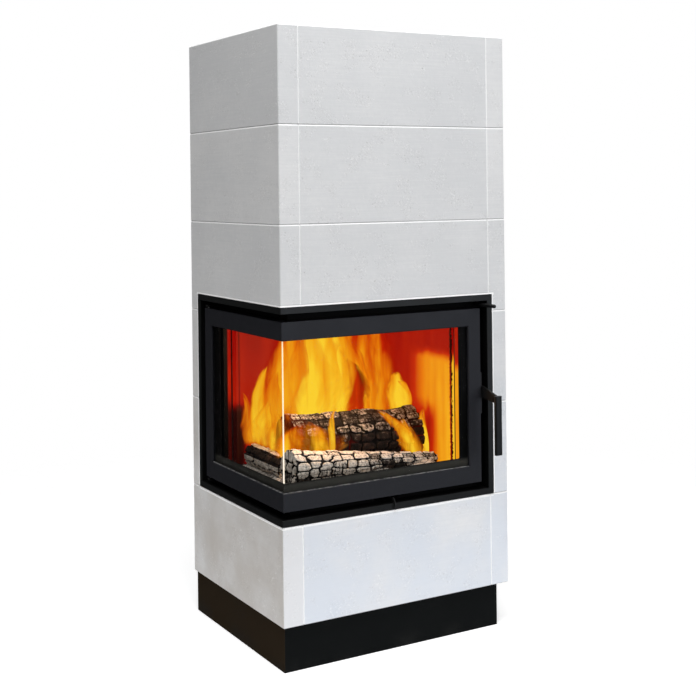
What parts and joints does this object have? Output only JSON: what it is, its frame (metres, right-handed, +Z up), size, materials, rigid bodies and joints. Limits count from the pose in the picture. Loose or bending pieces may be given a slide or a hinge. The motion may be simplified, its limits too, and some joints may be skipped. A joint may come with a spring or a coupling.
{
  "type": "tiled stove",
  "caption": "Modular tiled stove with a corner fireplace insert: L-shaped glazed door, lift-up handle, air lever, push-rod damper and rear flue outlet.",
  "frame": {"origin": "centre of the tiled body's footprint, on the floor under the plinth", "axes": "+Z up, +X to the right along the glazed front, +Y from the front to the rear with the flue outlet"},
  "size_m": [0.75, 0.678, 1.745],
  "materials": {
    "tile": "matt fine plaster-like surface",
    "plinth": "matt black coating",
    "aerated_concrete": "porous",
    "trim_black": "satin black heat-proof paint",
    "door_anthracite": "matt anthracite heat-proof paint",
    "fire_glass": "clear fire glass with a black printed border",
    "rope_seal": "braided rope",
    "boiler_steel": "matt black",
    "handle_black": "satin black",
    "bright_steel": "turned",
    "chamotte": "porous fired brick",
    "grate_iron": "rough cast",
    "firewood": "charred and ashy"
  },
  "bodies": {
    "stove": {"air_box": "boiler_steel", "air_spigot": "boiler_steel", "ash_pan": "boiler_steel", "back_bricks": "chamotte", "baffle_plate": "chamotte", "bypass_shelf": "boiler_steel", "cover_brackets": "boiler_steel", "door_surround": "trim_black", "fire_grate": "grate_iron", "firebox_shell": "boiler_steel", "flue_collar": "boiler_steel", "flue_pipe": "boiler_steel", "foundation_slab": "aerated_concrete", "hearth_bricks": "chamotte", "hinge_brackets": "handle_black", "hinge_pins": "bright_steel", "insert_legs": "boiler_steel", "latch_keeper": "handle_black", "log_front": "firewood", "log_left": "firewood", "log_rear": "firewood", "plinth_front_board": "plinth", "plinth_rear_board": "plinth", "plinth_side_boards": "plinth", "rear_panel_lower": "tile", "rear_panel_upper": "tile", "rod_guide": "boiler_steel", "side_bricks": "chamotte", "tile_front_1": "tile", "tile_front_4": "tile", "tile_front_5": "tile", "tile_front_6": "tile", "tile_left_1": "tile", "tile_left_4": "tile", "tile_left_5": "tile", "tile_left_6": "tile", "tile_rear_2": "tile", "tile_rear_3": "tile", "tile_right_1": "tile", "tile_right_2": "tile", "tile_right_3": "tile", "tile_right_4": "tile", "tile_right_5": "tile", "tile_right_6": "tile", "top_cover": "tile", "trim_frame": "trim_black"},
    "door": {"door_frame": "door_anthracite", "glass_front": "fire_glass", "glass_side": "fire_glass", "glass_retainers": "door_anthracite", "door_gasket": "rope_seal", "handle_bracket": "handle_black", "handle_pin": "bright_steel"},
    "handle": {"handle_arm": "handle_black", "handle_grip": "handle_black"},
    "air_control": {"air_slide": "boiler_steel", "air_lever": "handle_black"},
    "damper_control": {"damper_rod": "handle_black"},
    "damper_valve": {"damper_shaft": "bright_steel", "damper_flap": "boiler_steel"}
  },
  "joints": [
    {"name": "door_swing", "type": "hinge", "parent": "stove", "child": "door", "pos_m": [-0.361, 0.2005, 0.688], "axis": [0, 0, -1], "range_deg": [0, 90]},
    {"name": "handle_lift", "type": "hinge", "parent": "door", "child": "handle", "pos_m": [0.293, -0.2865, 0.697], "axis": [-1, 0, 0], "range_deg": [0, 30]},
    {"name": "air_slide", "type": "slide", "parent": "stove", "child": "air_control", "axis": [1, 0, 0], "range_m": [-0.035, 0.035]},
    {"name": "damper_push", "type": "slide", "parent": "stove", "child": "damper_control", "axis": [0, 1, 0], "range_m": [0, 0.055]},
    {"name": "damper_turn", "type": "hinge", "parent": "stove", "child": "damper_valve", "pos_m": [-0.03, -0.0025, 1.00432], "axis": [1, 0, 0], "range_deg": [0, 60]}
  ],
  "couplings": [
    {"joint": "damper_turn", "follows": "damper_push", "rad_per_m": 19.04}
  ]
}
